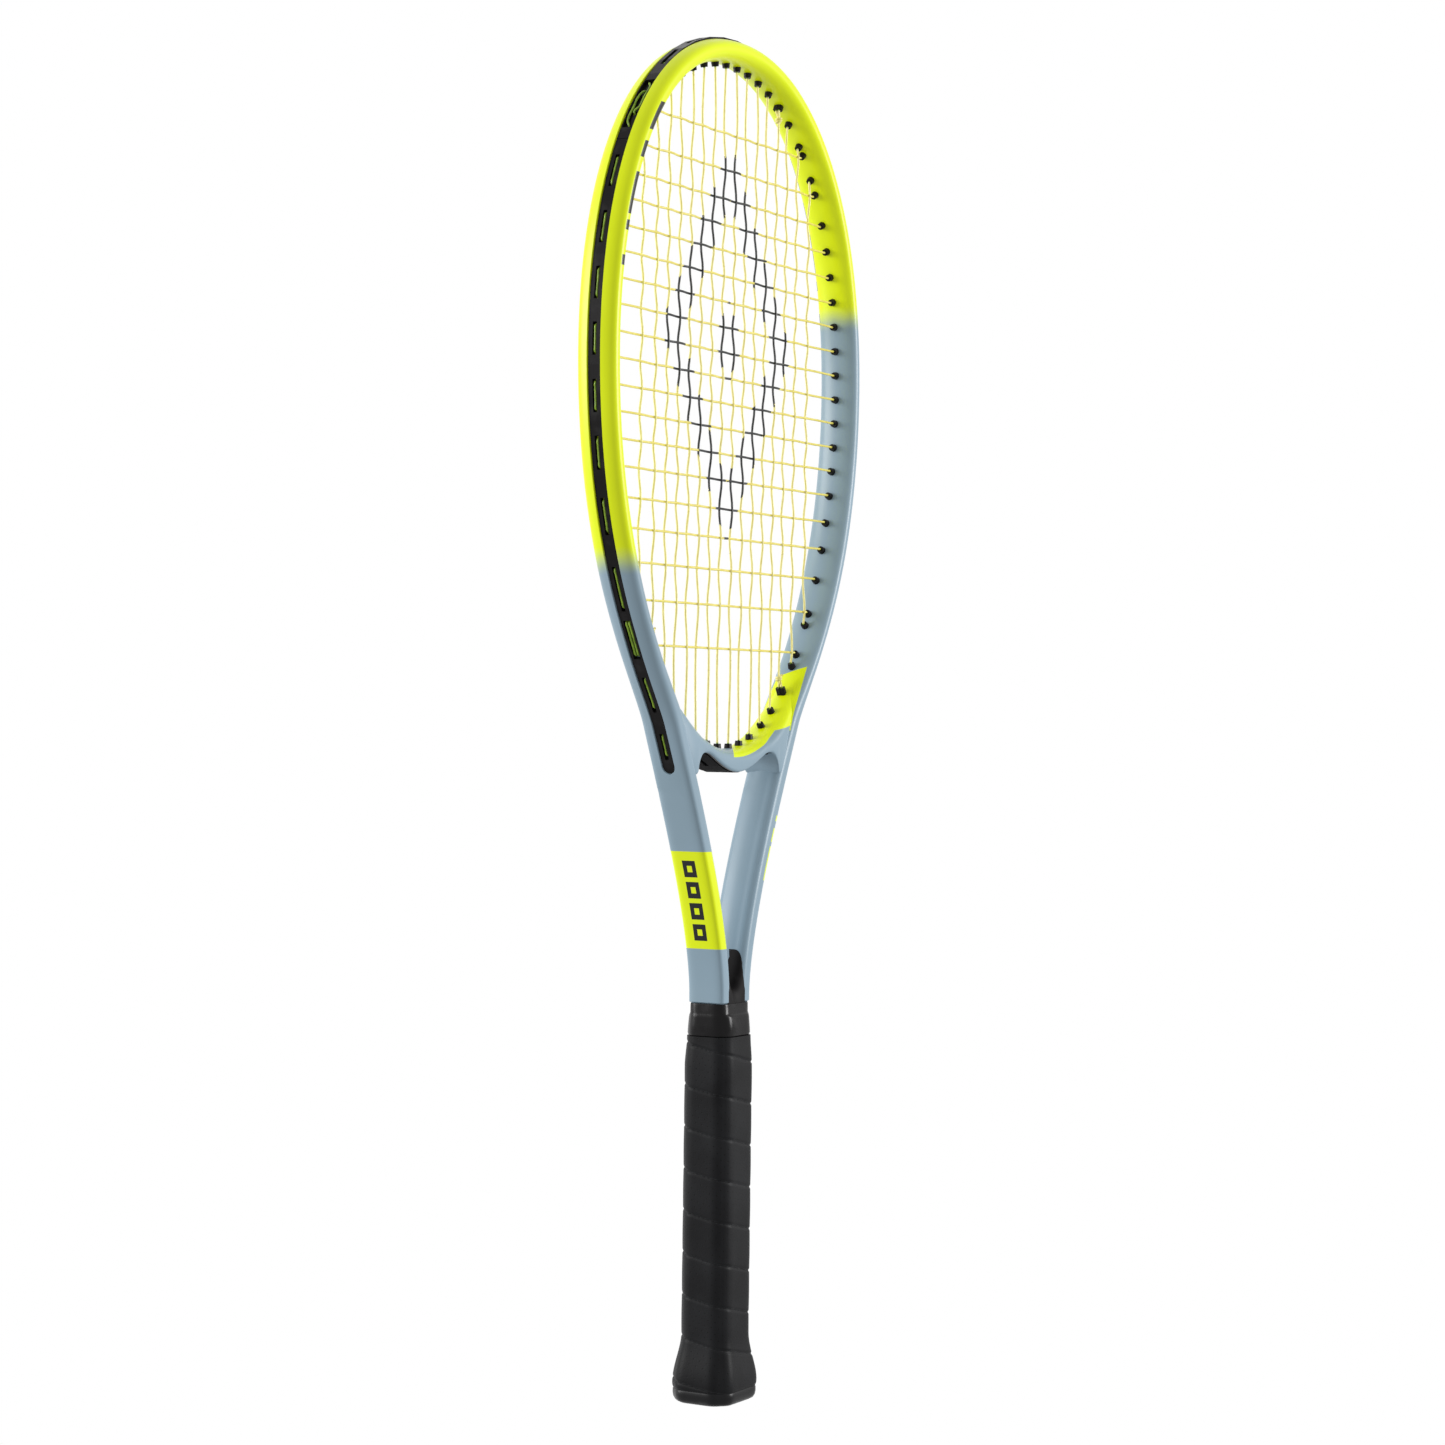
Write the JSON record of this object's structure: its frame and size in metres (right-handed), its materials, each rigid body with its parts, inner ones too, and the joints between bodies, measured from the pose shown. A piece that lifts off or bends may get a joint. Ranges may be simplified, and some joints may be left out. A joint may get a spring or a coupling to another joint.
{
  "type": "tennis racket",
  "caption": "Adult graphite tennis racket, strung, lime fading to blue-grey, with a wrapped black grip.",
  "frame": {"origin": "centre of the butt cap's flat end, where the racket stands upright", "axes": "+Z from the butt along the handle to the tip of the head, +X across the string bed, +Y through the string bed, away from the front"},
  "size_m": [0.253, 0.035, 0.6858],
  "materials": {
    "frame_paint": "satin clear coat over painted graphite, lime fading to blue-grey",
    "bridge_paint": "satin clear coat over painted graphite, blue-grey",
    "black_plastic": "moulded nylon, satin",
    "string": "clear pale gold synthetic string",
    "black_rubber": "smooth, slightly glossy",
    "grip_leather": "dark grey-black perforated wrap, matte",
    "foam": "moulded foam",
    "tape": "adhesive tape",
    "staple_steel": "bright wire"
  },
  "bodies": {
    "root": {"frame": "frame_paint", "throat_bridge": "bridge_paint", "shaft_wedge": "black_rubber", "head_guard": "black_plastic", "side_strip_left": "black_plastic", "side_strip_right": "black_plastic", "throat_strip": "black_plastic", "main_string": "string", "cross_string": "string", "pallet_front": "foam", "pallet_back": "foam", "butt_cap": "black_plastic", "butt_badge": "black_plastic", "cap_staple_front_left": "staple_steel", "cap_staple_front_right": "staple_steel", "cap_staple_back_left": "staple_steel", "cap_staple_back_right": "staple_steel", "grip": "grip_leather", "finishing_tape": "tape", "collar": "black_rubber"}
  },
  "joints": []
}
